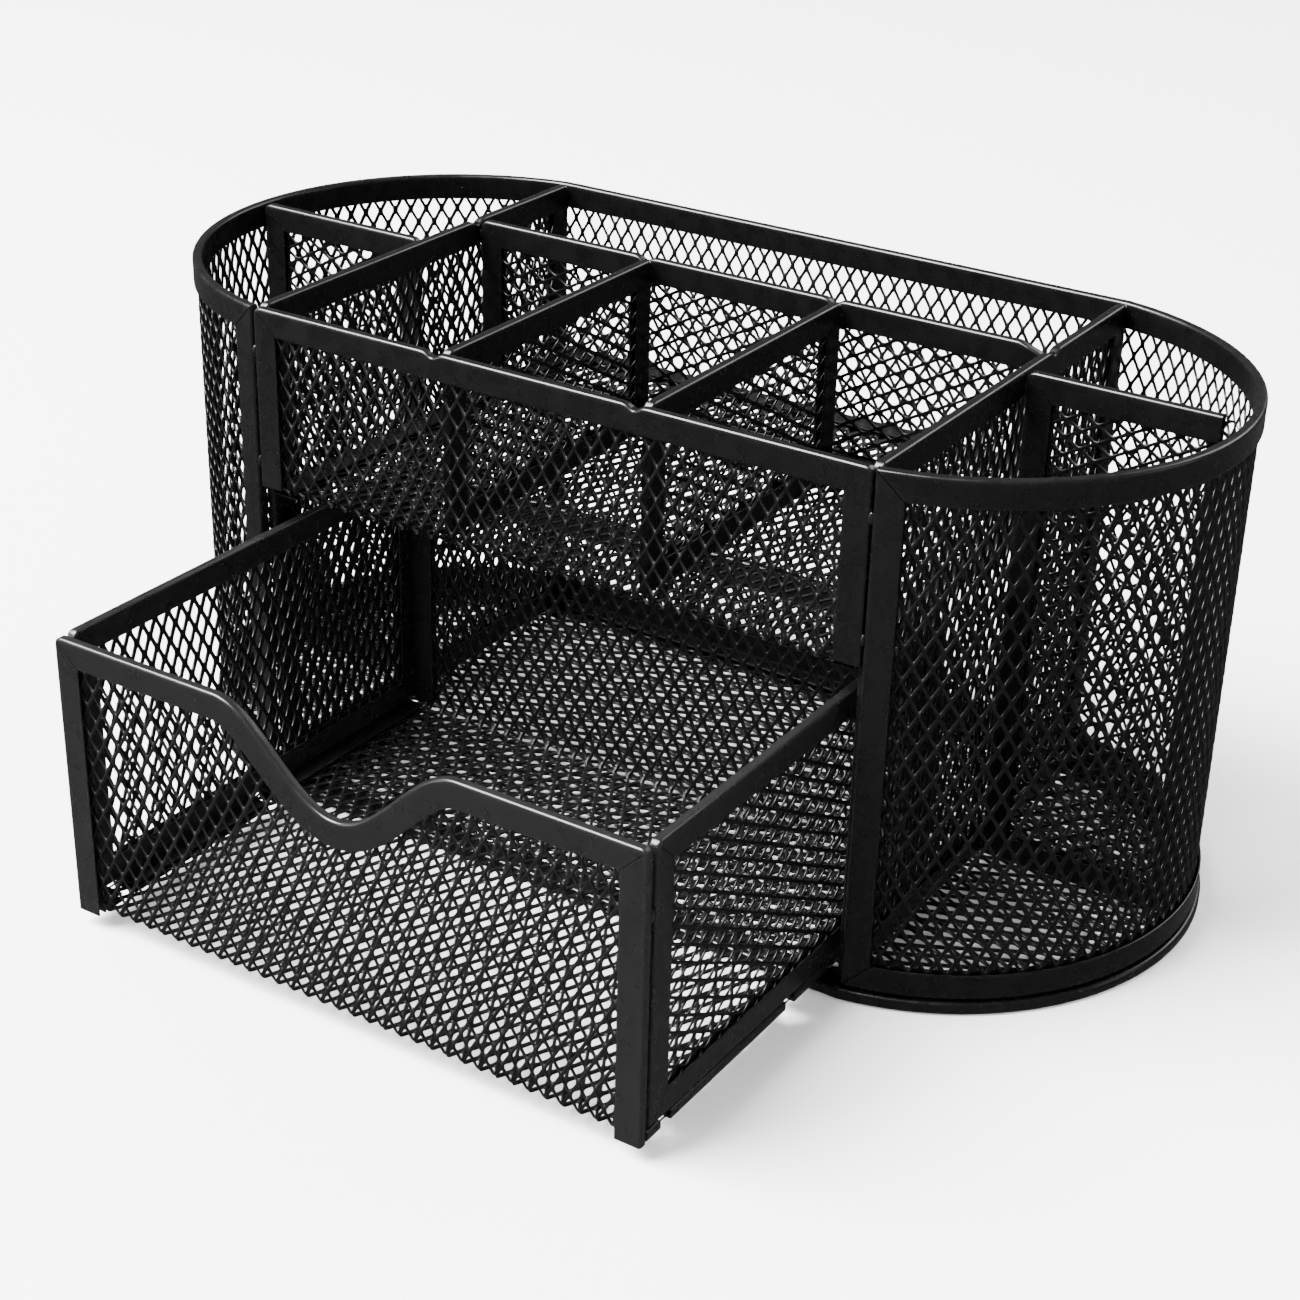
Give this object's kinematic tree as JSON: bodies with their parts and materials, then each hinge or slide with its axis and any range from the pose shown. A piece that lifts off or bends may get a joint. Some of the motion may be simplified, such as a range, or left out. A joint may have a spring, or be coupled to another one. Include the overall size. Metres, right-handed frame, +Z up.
{
  "type": "desk organizer",
  "caption": "Rounded desk organizer in black steel mesh, with a divided tray on top, pen spaces at both ends and a pull-out drawer with a finger scoop.",
  "frame": {"origin": "under the middle of the box round the whole part as it stands, with the drawer open, on the surface it stands on", "axes": "+X to the right along the length, +Y to the back, away from the drawer, +Z up"},
  "size_m": [0.2222, 0.1656, 0.104],
  "materials": {
    "strip": "black powder coat, satin",
    "mesh_sheet": "black powder coat on expanded steel mesh"
  },
  "bodies": {
    "organizer": {"base_mesh": "mesh_sheet", "base_ring": "strip", "centre_divider_frame": "strip", "centre_divider_mesh": "mesh_sheet", "centre_divider_top_channel": "strip", "front_and_shelf_mesh": "mesh_sheet", "front_top_rail": "strip", "front_upright_left": "strip", "front_upright_right": "strip", "left_cross_divider_frame": "strip", "left_cross_divider_mesh": "mesh_sheet", "left_cross_divider_top_channel": "strip", "left_end_divider_frame": "strip", "left_end_divider_mesh": "mesh_sheet", "left_end_divider_top_channel": "strip", "left_front_divider_frame": "strip", "left_front_divider_mesh": "mesh_sheet", "left_front_divider_top_channel": "strip", "right_cross_divider_frame": "strip", "right_cross_divider_mesh": "mesh_sheet", "right_cross_divider_top_channel": "strip", "right_end_divider_frame": "strip", "right_end_divider_mesh": "mesh_sheet", "right_end_divider_top_channel": "strip", "right_front_divider_frame": "strip", "right_front_divider_mesh": "mesh_sheet", "right_front_divider_top_channel": "strip", "shelf_channel_back": "strip", "shelf_channel_left": "strip", "shelf_channel_right": "strip", "wall_bottom_channel": "strip", "wall_end_channel_left": "strip", "wall_end_channel_right": "strip", "wall_mesh": "mesh_sheet", "wall_rim_channel": "strip"},
    "drawer": {"drawer_back_top_channel": "strip", "drawer_back_upright_left": "strip", "drawer_back_upright_right": "strip", "drawer_floor_channel_left": "strip", "drawer_floor_channel_right": "strip", "drawer_front_rail": "strip", "drawer_front_upright_left": "strip", "drawer_front_upright_right": "strip", "drawer_left_side_frame": "strip", "drawer_left_side_mesh": "mesh_sheet", "drawer_left_side_top_channel": "strip", "drawer_right_side_frame": "strip", "drawer_right_side_mesh": "mesh_sheet", "drawer_right_side_top_channel": "strip", "drawer_tray_mesh": "mesh_sheet"}
  },
  "joints": [
    {"name": "drawer_slide", "type": "slide", "parent": "organizer", "child": "drawer", "axis": [0, -1, 0], "range_m": [-0.06, 0.03]}
  ]
}
